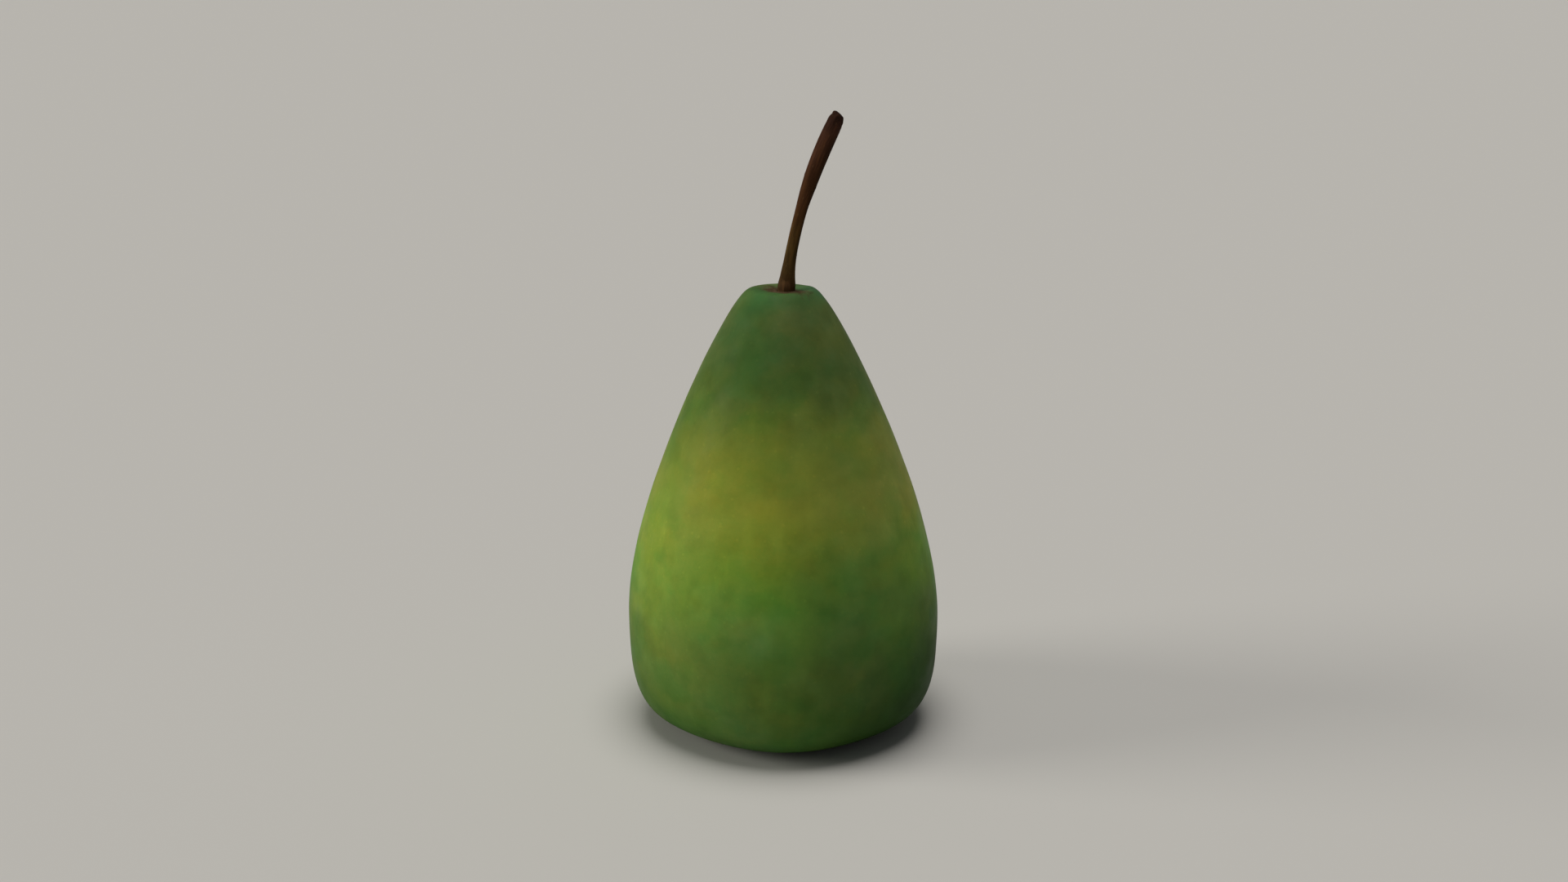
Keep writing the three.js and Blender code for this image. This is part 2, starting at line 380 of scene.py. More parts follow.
def colour_along(tree, distance, length, stops):
    """The colour at a distance along something, from stops of (distance, hex code)."""
    share = remap(tree, distance, 0, length, shape="LINEAR")
    ramp = add_node(tree, "ValToRGB", {"Fac": share})
    elements = ramp.color_ramp.elements
    while len(elements) < len(stops):
        elements.new(1)
    for element, (at, code) in zip(elements, stops):
        element.position = at / length
        element.color = paint(code)
    return ramp.outputs["Color"]


def add_blotches(tree, colour, place, blotches, strength):
    """The colour with each layer of blotches laid over it as a tint, at a strength from 0 to 1."""
    for blotch in blotches:
        moved = shifted(tree, place, blotch["offset"], blotch["stretch"])
        cloud = noise_at(tree, moved, blotch["scale"], detail=blotch["detail"]).outputs["Fac"]
        cover = remap(tree, cloud, *blotch["band"], 0, blotch["cover"])
        cover = calc(tree, "MULTIPLY", cover, strength)
        colour = mix_colour(tree, cover, colour, blotch["tint"], "MULTIPLY")
    return colour


def on_skin(turn, at):
    """The skin's place at a turn in degrees from the front towards +X, and a height."""
    radius = min(outside, key=lambda point: abs(point.z - at)).x
    angle = math.radians(turn)
    return Vector((radius * math.sin(angle), -radius * math.cos(angle), at)) + to_origin


# The ground colour of the skin by height: deep green at the base, clear green at the belly, yellow olive at
# the shoulder and dull deep green on the neck.
SKIN_BY_HEIGHT = [
    (0.000, "46662a"),
    (0.008, "4d6f2d"),
    (0.015, "5a7631"),
    (0.024, "638038"),
    (0.032, "6b9038"),
    (0.040, "749a36"),
    (0.047, "869e38"),
    (0.053, "8c9b3a"),
    (0.059, "829238"),
    (0.066, "758837"),
    (0.071, "6b7e36"),
    (0.076, "5e7235"),
    (0.082, "586d36"),
    (CROWN_HEIGHT, "506634"),
]
# Soft patches over it: turn from the front towards +X in degrees, height, reach, colour, strength.
LEAF_GREEN = "589636"
BLUE_GREEN = "3b6f34"
DEEP_GREEN = "2c5426"
DEEP_TEAL = "34603c"
SOFT_GREEN = "7d9a58"
COOL_GREEN = "2c6b36"
MINT_GREEN = "587a56"
DARK_GREEN = "223f11"
MOSS_GREEN = "526a3c"
YELLOW_GREEN = "93ab42"
YELLOW_OLIVE = "a09c34"
TAN_OLIVE = "958f4c"
DULL_OLIVE = "727c48"
GOLD_OLIVE = "6e7c26"
NECK_GREEN = "4a661c"
SKIN_PATCHES = [
    (-38, 0.088, 0.015, DEEP_GREEN, 0.3),
    (-40, 0.078, 0.013, DEEP_GREEN, 0.4),
    (-16, 0.078, 0.014, DEEP_TEAL, 0.35),
    (42, 0.080, 0.014, DEEP_GREEN, 0.4),
    (48, 0.089, 0.016, DULL_OLIVE, 0.35),
    (72, 0.075, 0.020, DULL_OLIVE, 0.3),
    (-46, 0.081, 0.018, NECK_GREEN, 0.4),
    (-44, 0.066, 0.022, GOLD_OLIVE, 0.4),
    (-78, 0.066, 0.022, BLUE_GREEN, 0.4),
    (-44, 0.056, 0.017, YELLOW_OLIVE, 0.4),
    (0, 0.052, 0.022, YELLOW_OLIVE, 0.35),
    (36, 0.052, 0.020, DULL_OLIVE, 0.35),
    (64, 0.057, 0.019, TAN_OLIVE, 0.45),
    (-60, 0.046, 0.026, YELLOW_GREEN, 0.35),
    (-52, 0.036, 0.028, YELLOW_GREEN, 0.45),
    (-10, 0.036, 0.018, LEAF_GREEN, 0.25),
    (-18, 0.030, 0.012, SOFT_GREEN, 0.35),
    (14, 0.041, 0.014, BLUE_GREEN, 0.3),
    (38, 0.036, 0.022, MOSS_GREEN, 0.5),
    (-40, 0.018, 0.020, LEAF_GREEN, 0.25),
    (24, 0.029, 0.013, MOSS_GREEN, 0.3),
    (60, 0.018, 0.024, DEEP_GREEN, 0.35),
    (-18, 0.009, 0.013, SOFT_GREEN, 0.25),
    (-40, 0.020, 0.015, TAN_OLIVE, 0.25),
    (22, 0.022, 0.015, DARK_GREEN, 0.22),
    (30, 0.017, 0.010, DULL_OLIVE, 0.4),
    (54, 0.018, 0.013, LEAF_GREEN, 0.2),
    # The next two dark green patches, low on the +X side, are painted shade: the dark of the fruit's lower
    # side away from the side light.
    (50, 0.005, 0.030, DARK_GREEN, 0.85),
    (78, 0.010, 0.026, DARK_GREEN, 0.85),
    (-52, 0.0918, 0.009, COOL_GREEN, 0.55),
    (105, 0.0925, 0.010, MINT_GREEN, 0.75),
    (-140, 0.0926, 0.007, DULL_OLIVE, 0.6),
    (112, 0.038, 0.030, BLUE_GREEN, 0.35),
    (140, 0.060, 0.024, YELLOW_OLIVE, 0.45),
    (158, 0.026, 0.030, YELLOW_GREEN, 0.45),
    (178, 0.080, 0.018, DEEP_GREEN, 0.5),
    (196, 0.046, 0.026, LEAF_GREEN, 0.45),
    (214, 0.014, 0.028, DEEP_GREEN, 0.5),
    (228, 0.058, 0.026, YELLOW_OLIVE, 0.5),
    (246, 0.030, 0.028, LEAF_GREEN, 0.4),
    (252, 0.084, 0.018, DULL_OLIVE, 0.5),
]
# How far a cloudy noise, which runs from 0 to 1, pushes the bands of the ground colour and the edges of the
# patches.
NOISE_MIDDLE = 0.5
CLOUD_SCALE = 75
BAND_WANDER = 0.02
PATCH_WANDER = 0.012
# Blotches over both: cool and warm ones, small shadows and hazy spots, pale streaks, and a fine speckle.
COOL_TINT = (0.76, 0.96, 0.92, 1)
WARM_TINT = (1.14, 1.01, 0.86, 1)
SHADE_TINT = (0.82, 0.84, 0.8, 1)
HAZE_TINT = (1.14, 1.12, 1.25, 1)
PALE_TINT = (1.18, 1.15, 1.12, 1)
SKIN_BLOTCHES = [
    {
        "tint": COOL_TINT,
        "scale": 100,
        "offset": (4, 3, 9),
        "stretch": (1, 1, 1.3),
        "detail": 3,
        "band": (0.45, 0.65),
        "cover": 0.8,
    },
    {
        "tint": WARM_TINT,
        "scale": 85,
        "offset": (1, 5, 7),
        "stretch": (1, 1, 1.3),
        "detail": 3,
        "band": (0.46, 0.66),
        "cover": 0.7,
    },
    {
        "tint": SHADE_TINT,
        "scale": 210,
        "offset": (5, 8, 3),
        "stretch": (1, 1, 1),
        "detail": 2,
        "band": (0.4, 0.75),
        "cover": 0.8,
    },
    {
        "tint": HAZE_TINT,
        "scale": 180,
        "offset": (9, 2, 6),
        "stretch": (1, 1, 1),
        "detail": 2,
        "band": (0.4, 0.75),
        "cover": 0.8,
    },
    {
        "tint": PALE_TINT,
        "scale": 260,
        "offset": (2, 9, 6),
        "stretch": (1, 1, 0.22),
        "detail": 3,
        "band": (0.5, 0.72),
        "cover": 0.5,
    },
    {
        "tint": COOL_TINT,
        "scale": 1500,
        "offset": (0, 0, 0),
        "stretch": (1, 1, 1),
        "detail": 2,
        "band": (0.4, 0.7),
        "cover": 0.3,
    },
]
# The blotches are calmer under the shoulder: near this height they have only this share of their strength.
CALM_HEIGHT = 0.058
CALM_REACH = (0.005, 0.012)
CALM_SHARE = 0.7
# Lenticels, the skin's small corky breathing spots.
LENTICEL_SCALE = 460
LENTICEL_SIZE = (0.08, 0.2)
LENTICEL_TINT = (1.75, 1.45, 1.35, 1)
LENTICEL_COVER = 0.15
# A cool green in clouds round the crown's rim.
CROWN_TINT = (0.86, 1.04, 1.02, 1)
CROWN_TINT_HEIGHTS = (0.0885, 0.0915)
CROWN_CLOUD_SCALE = 150
CROWN_CLOUD_OFFSET = (3, 1, 2)
CROWN_CLOUD_BAND = (0.38, 0.6)
CROWN_TINT_COVER = (0.25, 0.95)
# Corky russet round the stem and in the basin: its colours, its middle on the crown, the turn and stretch
# of its oval, how far it reaches there and in the basin, how ragged its edge is, and how much it covers.
RUSSET = "5c4334"
RUSSET_DARK = "472c20"
RUSSET_DARK_BAND = (0.35, 0.62)
RUSSET_CENTRE = Vector((0.0005, -0.0001, 0))
RUSSET_TURN = math.radians(-46)
RUSSET_STRETCH = (1.5, 0.84, 1)
RUSSET_REACH = (0.0024, 0.0052)
BASIN_RUSSET_REACH = (0.004, 0.0085)
BASIN_RUSSET_HEIGHTS = (0.0005, 0.004)
RUSSET_RAGGEDNESS = 0.004
RUSSET_RAGGED_SCALE = 700
RUSSET_RAGGED_OFFSET = (1, 1, 8)
RUSSET_COVER = 0.88
# The wax's sheen, and how much each kind of fine grain adds to the skin's bumps.
WAX_SCALE = 220
WAX_BAND = (0.3, 0.7)
SKIN_ROUGHNESS = (0.46, 0.58)
RUSSET_ROUGHNESS = 0.3
SKIN_SPECULAR = 0.06
SKIN_BUMP = 0.00006
PORE_SCALE = 2600
PORE_GRAIN = 0.25
PEEL_SCALE = 620
PEEL_GRAIN = 0.6
LENTICEL_GRAIN = 0.2
RUSSET_GRAIN = 1.5

skin, skin_tree, skin_shader = new_material("pear_skin", SKIN_SPECULAR)
skin_place = add_node(skin_tree, "TexCoord").outputs["Object"]
height = add_node(skin_tree, "SeparateXYZ", {"Vector": skin_place}).outputs["Z"]
cloud = noise_at(skin_tree, skin_place, CLOUD_SCALE)
wavy_height = wandering(skin_tree, height, cloud.outputs["Fac"], BAND_WANDER)
skin_colour = colour_along(skin_tree, wavy_height, CROWN_HEIGHT, SKIN_BY_HEIGHT)

cloud_push = calc_vector(skin_tree, "SUBTRACT", cloud.outputs["Color"], (NOISE_MIDDLE,) * 3)
wavy_place = calc_vector(skin_tree, "MULTIPLY_ADD", cloud_push, (PATCH_WANDER,) * 3, skin_place)
for turn, at, reach, colour, strength in SKIN_PATCHES:
    away = calc_vector(skin_tree, "DISTANCE", wavy_place, on_skin(turn, at), output="Value")
    cover = remap(skin_tree, away, 0, reach, strength, 0)
    skin_colour = mix_colour(skin_tree, cover, skin_colour, paint(colour))
from_calm = calc(skin_tree, "ABSOLUTE", calc(skin_tree, "SUBTRACT", height, CALM_HEIGHT))
blotch_strength = remap(skin_tree, from_calm, *CALM_REACH, CALM_SHARE, 1)
skin_colour = add_blotches(skin_tree, skin_colour, skin_place, SKIN_BLOTCHES, blotch_strength)

dots = add_node(skin_tree, "TexVoronoi", {"Vector": skin_place, "Scale": LENTICEL_SCALE})
lenticel = remap(skin_tree, dots.outputs["Distance"], *LENTICEL_SIZE, 1, 0)
lenticel_cover = calc(skin_tree, "MULTIPLY", lenticel, LENTICEL_COVER)
skin_colour = mix_colour(skin_tree, lenticel_cover, skin_colour, LENTICEL_TINT, "MULTIPLY")

near_crown = remap(skin_tree, height, *CROWN_TINT_HEIGHTS)
crown_place = shifted(skin_tree, skin_place, CROWN_CLOUD_OFFSET)
crown_cloud = noise_at(skin_tree, crown_place, CROWN_CLOUD_SCALE, detail=3).outputs["Fac"]
cloudy_cover = remap(skin_tree, crown_cloud, *CROWN_CLOUD_BAND, *CROWN_TINT_COVER)
crown_cover = calc(skin_tree, "MULTIPLY", near_crown, cloudy_cover)
skin_colour = mix_colour(skin_tree, crown_cover, skin_colour, CROWN_TINT, "MULTIPLY")

level_place = calc_vector(skin_tree, "MULTIPLY", skin_place, (1, 1, 0))
russet_oval = {
    "Vector": level_place,
    "Location": RUSSET_CENTRE + to_origin,
    "Rotation": (0, 0, RUSSET_TURN),
    "Scale": RUSSET_STRETCH,
}
russet_place = add_node(skin_tree, "Mapping", russet_oval, vector_type="TEXTURE").outputs["Vector"]
from_stem = calc_vector(skin_tree, "LENGTH", russet_place, output="Value")
ragged_place = shifted(skin_tree, skin_place, RUSSET_RAGGED_OFFSET)
ragged = noise_at(skin_tree, ragged_place, RUSSET_RAGGED_SCALE, detail=4, roughness=0.65).outputs["Fac"]
ragged_radius = wandering(skin_tree, from_stem, ragged, RUSSET_RAGGEDNESS)
stem_ring = remap(skin_tree, ragged_radius, *RUSSET_REACH, 1, 0)
crown_russet = calc(skin_tree, "MULTIPLY", stem_ring, near_crown)
in_basin = remap(skin_tree, height, *BASIN_RUSSET_HEIGHTS)
under_belly = calc(skin_tree, "LESS_THAN", height, BELLY_HEIGHT)
basin_ring = remap(skin_tree, ragged_radius, *BASIN_RUSSET_REACH, 1, 0)
basin_russet = calc(skin_tree, "MULTIPLY", calc(skin_tree, "MULTIPLY", in_basin, under_belly), basin_ring)
russet = calc(skin_tree, "MAXIMUM", crown_russet, basin_russet)
pale_cork = remap(skin_tree, ragged, *RUSSET_DARK_BAND)
cork = mix_colour(skin_tree, pale_cork, paint(RUSSET_DARK), paint(RUSSET))
russet_cover = calc(skin_tree, "MULTIPLY", russet, RUSSET_COVER)
skin_colour = mix_colour(skin_tree, russet_cover, skin_colour, cork)
skin_tree.links.new(skin_colour, skin_shader.inputs["Base Color"])

wax = noise_at(skin_tree, skin_place, WAX_SCALE, detail=3).outputs["Fac"]
waxy = remap(skin_tree, wax, *WAX_BAND, *SKIN_ROUGHNESS)
skin_roughness = calc(skin_tree, "MULTIPLY_ADD", russet, RUSSET_ROUGHNESS, waxy)
skin_tree.links.new(skin_roughness, skin_shader.inputs["Roughness"])
pores = noise_at(skin_tree, skin_place, PORE_SCALE).outputs["Fac"]
peel = noise_at(skin_tree, skin_place, PEEL_SCALE).outputs["Fac"]
ragged_russet = calc(skin_tree, "MULTIPLY", russet, ragged)
grain = calc(skin_tree, "MULTIPLY", peel, PEEL_GRAIN)
grain = calc(skin_tree, "MULTIPLY_ADD", pores, PORE_GRAIN, grain)
grain = calc(skin_tree, "MULTIPLY_ADD", lenticel, LENTICEL_GRAIN, grain)
grain = calc(skin_tree, "MULTIPLY_ADD", ragged_russet, RUSSET_GRAIN, grain)
skin_bump = add_node(skin_tree, "Bump", {"Height": grain, "Distance": SKIN_BUMP, "Strength": 1})
skin_tree.links.new(skin_bump.outputs["Normal"], skin_shader.inputs["Normal"])

fruit = add_piece("pear_fruit", fruit_maker, skin)
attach(fruit, "root")
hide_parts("fruit")

# ---------------------------------------------------------------------------------------------------------
# Stem
# The woody stalk that the pear hung by. It stands in the dent of the crown, thins to a waist, thickens
# towards the twig and bends over to one side. The bark is ridged lengthwise, and the tip is a dark knob
# where the stalk broke off.

# The curve that it bends along, and its girth as (radius, distance from the root).
STEM_SPINE = [
    Vector((0.0004, 0.0008, 0.0889)),
    Vector((0.0011, 0.0009, 0.102)),
    Vector((0.005, 0.0004, 0.1155)),
    Vector((0.0113, -0.0005, 0.1278)),
]
STEM_LENGTH = 0.0408
STEM_GIRTH = [
    (0.0015, 0),
    (0.0018, 0.004),
    (0.00152, 0.0064),
    (0.00125, 0.0095),
    (0.00117, 0.014),
    (0.00122, 0.0205),
    (0.0015, 0.026),
    (0.00167, 0.033),
    (0.00165, 0.0374),
    (0.00155, 0.0394),
    (0.0013, 0.0403),
    (0.0009, 0.0406),
    (0.0004, 0.0405),
    (0, 0.0404),
]
STEM_AROUND = 72
STEM_RINGS_PER_STRETCH = 22
STEM_RIDGES = 3
STEM_RIDGE_SHARE = 0.04
STEM_TWIST = 50
TIP_CUT_SLOPE = 0.22
TIP_CUT_LENGTH = 0.005
THIN_END = 0.0004

# Relief of the bark: lengthwise grooves in two sizes, each as (waves round the stem, waves per metre along
# it), the lumps of the broken tip as (waves per metre, height), and small warts.
GROOVE_DEPTH = 0.00006
BROAD_GROOVES = (2.6, 90)
FINE_GROOVES = (7, 260)
FINE_GROOVE_SHARE = 0.5
KNOB_LUMPS = (1500, 0.00016)
KNOB_SINK = 0.45
KNOB_START = 0.0035
KNOB_FULL = 0.0008
STEM_SEED = 7
WARTS = 26
WART_HEIGHT = 0.00006
WART_SIZES = (0.00012, 0.00026)
WART_HEIGHTS = (0.006, 0.039)
WART_RADIUS = 0.0013
WART_STRETCH = 0.6


def smooth_through(points, steps):
    """A smooth profile through (radius, height) points, with a number of steps between each two.

    It passes each point in the direction from the one before to the one after.
    """
    ends = [Vector((radius, 0, at)) for radius, at in points]
    profile = []
    for i, (start, end) in enumerate(zip(ends, ends[1:])):
        before = ends[max(i - 1, 0)]
        after = ends[min(i + 2, len(ends) - 1)]
        towards_start = start + (end - before) / 6
        towards_end = end - (after - start) / 6
        profile += interpolate_bezier(start, towards_start, towards_end, end, steps + 1)[:-1]
    return profile + [ends[-1]]


def on_curve(corners, share):
    """The point of a cubic curve at a share of its run from 0 to 1, and its direction there."""
    a, b, c, d = corners
    ab, bc, cd = a.lerp(b, share), b.lerp(c, share), c.lerp(d, share)
    near, far = ab.lerp(bc, share), bc.lerp(cd, share)
    return near.lerp(far, share), (far - near).normalized()


def groove(straight, angle, grooves):
    """The lie of the bark's lengthwise grooves at a place on the straight stem, about -1 to 1."""
    around, along = grooves
    return noise.noise(Vector((math.cos(angle) * around, math.sin(angle) * around, straight.z * along)))


def bark_relief(straight, warts):
    """How far the bark stands out at a place on the straight stem."""
    angle = math.atan2(straight.y, straight.x)
    fine = FINE_GROOVE_SHARE * groove(straight, angle, FINE_GROOVES)
    relief = GROOVE_DEPTH * (groove(straight, angle, BROAD_GROOVES) + fine)
    lump_scale, lump_height = KNOB_LUMPS
    tip = smooth_step(straight.z, STEM_LENGTH - KNOB_START, STEM_LENGTH - KNOB_FULL)
    relief += tip * lump_height * (noise.noise(straight * lump_scale) - KNOB_SINK)
    for wart_angle, wart_at, wart_size in warts:
        turn = (angle - wart_angle + math.pi) % (2 * math.pi) - math.pi
        gap = math.hypot(turn * WART_RADIUS, (straight.z - wart_at) * WART_STRETCH)
        relief += WART_HEIGHT * (1 - smooth_step(gap, 0, wart_size))
    return relief


def bend_stem(straight, relief):
    """Where a place on the straight stem ends up once it is ridged, cut aslant at the tip and bent."""
    angle = math.atan2(straight.y, straight.x)
    radius = math.hypot(straight.x, straight.y)
    ridge = 1 + STEM_RIDGE_SHARE * math.cos(STEM_RIDGES * angle + STEM_TWIST * straight.z)
    cut = smooth_step(straight.z, STEM_LENGTH - TIP_CUT_LENGTH, STEM_LENGTH)
    along = max(straight.z - TIP_CUT_SLOPE * cut * straight.x, 0) / STEM_LENGTH
    centre, forward = on_curve(STEM_SPINE, min(along, 1))
    spread = ridge + (relief / radius if radius > THIN_END else 0)
    across = Vector((straight.x * spread, straight.y * spread, 0))
    across.rotate(Vector((0, 0, 1)).rotation_difference(forward))
    return centre + across + forward * max(along - 1, 0) * STEM_LENGTH + to_origin


stem_random = random.Random(STEM_SEED)
warts = []
for _ in range(WARTS):
    wart_at = stem_random.uniform(*WART_HEIGHTS)
    warts.append((stem_random.uniform(-math.pi, math.pi), wart_at, stem_random.uniform(*WART_SIZES)))
stem_profile = [Vector((0, 0, 0)), *smooth_through(STEM_GIRTH, STEM_RINGS_PER_STRETCH)]
stem_maker = spin_profile(stem_profile, STEM_AROUND)
straight_layer = stem_maker.verts.layers.float_vector.new("straight_place")
for vert in stem_maker.verts:
    vert[straight_layer] = vert.co
    vert.co = bend_stem(vert.co.copy(), bark_relief(vert.co, warts))

# The bark's colour from its pale root to its dark tip, dark streaks and pale fibres in it, small pale
# flecks, and painted shade on the side that the stem bends to, the +X side away from the side light. That
# painted shade fades in across the stem, and in and out along it.
# The root's paler colour is painted light, which offsets the shade of the dent round the stem's foot.
BARK_BY_HEIGHT = [
    (0.0026, "6c4e32"),
    (0.004, "4e381f"),
    (0.012, "5c4721"),
    (0.016, "5a4120"),
    (0.021, "50321b"),
    (0.028, "50321f"),
    (0.035, "523425"),
    (0.038, "3e261d"),
    (STEM_LENGTH, "2a1a14"),
]
BARK_CLOUD_SCALE = 260
BARK_WANDER = 0.012
FIBRE_SCALE = 1500
FIBRE_OFFSET = (4, 2, 1)
FIBRE_STRETCH = (1, 1, 0.1)
STREAK_COLOUR = "26150b"
STREAK_BAND = (0.42, 0.62)
STREAK_COVER = 0.4
FIBRE_COLOUR = "70461f"
FIBRE_BAND = (0.5, 0.28)
FIBRE_COVER = 0.28
FLECK_SCALE = 1100
FLECK_OFFSET = (1, 1, 1)
FLECK_STRETCH = (1, 1, 0.6)
FLECK_SIZE = (0.08, 0.22)
FLECK_COLOUR = "7d6440"
FLECK_COVER = 0.18
BARK_PAINTED_SHADE = (0.28, 0.28, 0.2, 1)
BARK_SHADE_ACROSS = (0.0001, 0.0012)
BARK_SHADE_START = (0.006, 0.012)
BARK_SHADE_END = (0.038, 0.034)
BARK_SHADE_COVER = 0.85
BARK_ROUGHNESS_BAND = (0.3, 0.7)
BARK_ROUGHNESS = (0.68, 0.88)
BARK_SPECULAR = 0.06
BARK_BUMP = 0.00009
BARK_CLOUD_GRAIN = 0.5

bark, bark_tree, bark_shader = new_material("pear_stem_bark", BARK_SPECULAR)
straight = add_node(bark_tree, "Attribute", attribute_name="straight_place").outputs["Vector"]
straight_parts = add_node(bark_tree, "SeparateXYZ", {"Vector": straight})
from_root = straight_parts.outputs["Z"]
bark_cloud = noise_at(bark_tree, straight, BARK_CLOUD_SCALE, detail=3).outputs["Fac"]
wavy_from_root = wandering(bark_tree, from_root, bark_cloud, BARK_WANDER)
bark_colour = colour_along(bark_tree, wavy_from_root, STEM_LENGTH, BARK_BY_HEIGHT)
fibre_place = shifted(bark_tree, straight, FIBRE_OFFSET, FIBRE_STRETCH)
fibres = noise_at(bark_tree, fibre_place, FIBRE_SCALE, detail=4, roughness=0.6).outputs["Fac"]
streaks = remap(bark_tree, fibres, *STREAK_BAND, 0, STREAK_COVER)
bark_colour = mix_colour(bark_tree, streaks, bark_colour, paint(STREAK_COLOUR))
pale_fibres = remap(bark_tree, fibres, *FIBRE_BAND, 0, FIBRE_COVER)
bark_colour = mix_colour(bark_tree, pale_fibres, bark_colour, paint(FIBRE_COLOUR))
fleck_place = shifted(bark_tree, straight, FLECK_OFFSET, FLECK_STRETCH)
flecks = add_node(bark_tree, "TexVoronoi", {"Vector": fleck_place, "Scale": FLECK_SCALE})
fleck = remap(bark_tree, flecks.outputs["Distance"], *FLECK_SIZE, FLECK_COVER, 0)
bark_colour = mix_colour(bark_tree, fleck, bark_colour, paint(FLECK_COLOUR))
# Painted shade: the stem's +X side, away from the side light, is darkened, fading in and out along it.
painted_shade = remap(bark_tree, straight_parts.outputs["X"], *BARK_SHADE_ACROSS, 0, BARK_SHADE_COVER)
for fade in (BARK_SHADE_START, BARK_SHADE_END):
    painted_shade = calc(bark_tree, "MULTIPLY", painted_shade, remap(bark_tree, from_root, *fade))
bark_colour = mix_colour(bark_tree, painted_shade, bark_colour, BARK_PAINTED_SHADE, "MULTIPLY")
bark_tree.links.new(bark_colour, bark_shader.inputs["Base Color"])
bark_roughness = remap(bark_tree, fibres, *BARK_ROUGHNESS_BAND, *BARK_ROUGHNESS)
bark_tree.links.new(bark_roughness, bark_shader.inputs["Roughness"])
bark_grain = calc(bark_tree, "MULTIPLY_ADD", bark_cloud, BARK_CLOUD_GRAIN, fibres)
bark_bump = add_node(bark_tree, "Bump", {"Height": bark_grain, "Distance": BARK_BUMP, "Strength": 1})
bark_tree.links.new(bark_bump.outputs["Normal"], bark_shader.inputs["Normal"])

stem = add_piece("pear_stem", stem_maker, bark)
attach(stem, "root")
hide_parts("stem")

# ---------------------------------------------------------------------------------------------------------
# Calyx
# What is left of the flower, dried in the basin underneath: a short brown cup grown into the fruit's eye,
# and five pointed sepals that spread from its mouth, cupped and wrinkled, and curl down at their tips.

# The cup's section as (radius, height), from the middle of its hollow over its mouth to its back.
CUP_MOUTH = 0.0044
CUP_PROFILE = [
    (0, 0.0066),
    (0.0007, 0.0065),
    (0.0012, 0.0059),
    (0.0015, 0.005),
    (0.00175, CUP_MOUTH),
    (0.0021, 0.00422),
    (0.0024, 0.0045),
    (0.0025, 0.0053),
    (0.00245, 0.0066),
    (0.0024, 0.0078),
    (0.0019, 0.0084),
    (0, 0.0084),
]
CUP_AROUND = 90
CUP_RINGS_PER_STRETCH = 8
CUP_RIBS = 10
CUP_RIB_SHARE = 0.03
CUP_LUMPS = (900, 0.06)
# A sepal's sizes, its edge as (half width, distance from the root), and how much one differs from the next.
SEPALS = 5
SEPAL_LENGTH = 0.0066
SEPAL_THICKNESS = 0.00028
SEPAL_START_RADIUS = 0.0014
SEPAL_START_DROOP = 0.05
SEPAL_END_DROOP = 1.15
SEPAL_RISE = 0.0005
SEPAL_EDGE = [(0.0012, 0), (0.0019, 0.0023), (0.0009, 0.0046), (0.00008, SEPAL_LENGTH)]
SEPAL_ROWS = 36
SEPAL_COLUMNS = 18
SEPAL_CUPPING = 0.0007
SEPAL_TWIST = 0.0004
SEPAL_NARROWING = 0.25
VEIN_DEPTH = 0.00012
VEIN_SHARPNESS = 3
VEIN_SIDE_LIFT = 0.5
WRINKLE_HEIGHT = 0.00016
WRINKLES_ALONG = 700
WRINKLES_ACROSS = 1500
WRINKLE_STEP = 9.7
CALYX_SEED = 3
SEPAL_TURN_SPREAD = 0.05
SEPAL_DROOP_SPREAD = (-0.12, 0.08)
SEPAL_CURLS = (0.6, 1.2)


def sepal_width(share):
    """Half the width of a flat sepal at a share of its length from root to tip."""
    return on_curve([Vector((width, 0, along)) for width, along in SEPAL_EDGE], share)[0].x


def add_sepal(maker, turn, droop_end, curl, wrinkle_seed):
    """Adds one sepal, from a flat grid of size 1 that lies along x round the origin.

    The grid is cut to the sepal's outline, cupped, wrinkled, drooped in an arc and turned to its side.
    """
    grid = bmesh.ops.create_grid(maker, x_segments=SEPAL_ROWS, y_segments=SEPAL_COLUMNS, size=0.5)
    droop_rate = (droop_end - SEPAL_START_DROOP) / SEPAL_LENGTH
    for vert in grid["verts"]:
        share = vert.co.x + 0.5
        side = vert.co.y * 2
        along = share * SEPAL_LENGTH
        across = side * sepal_width(share)
        droop = SEPAL_START_DROOP + droop_rate * along
        out = (math.sin(droop) - math.sin(SEPAL_START_DROOP)) / droop_rate
        down = (math.cos(SEPAL_START_DROOP) - math.cos(droop)) / droop_rate
        wrinkle = noise.noise(Vector((along * WRINKLES_ALONG, across * WRINKLES_ACROSS, wrinkle_seed)))
        vein = math.exp(-((side * VEIN_SHARPNESS) ** 2)) - VEIN_SIDE_LIFT * abs(side)
        cupping = curl * SEPAL_CUPPING * side * side * math.sin(share * math.pi)
        lift = WRINKLE_HEIGHT * wrinkle - VEIN_DEPTH * vein - cupping
        radial = SEPAL_START_RADIUS + out + lift * math.sin(droop)
        sideways = across * (1 - SEPAL_NARROWING * abs(curl) * share)
        twist = SEPAL_TWIST * curl * side * share
        upwards = CUP_MOUTH + SEPAL_RISE - down + lift * math.cos(droop) + twist
        vert.co = Vector((radial, sideways, upwards))
    bmesh.ops.rotate(maker, verts=grid["verts"], cent=(0, 0, 0), matrix=Matrix.Rotation(turn, 3, "Z"))


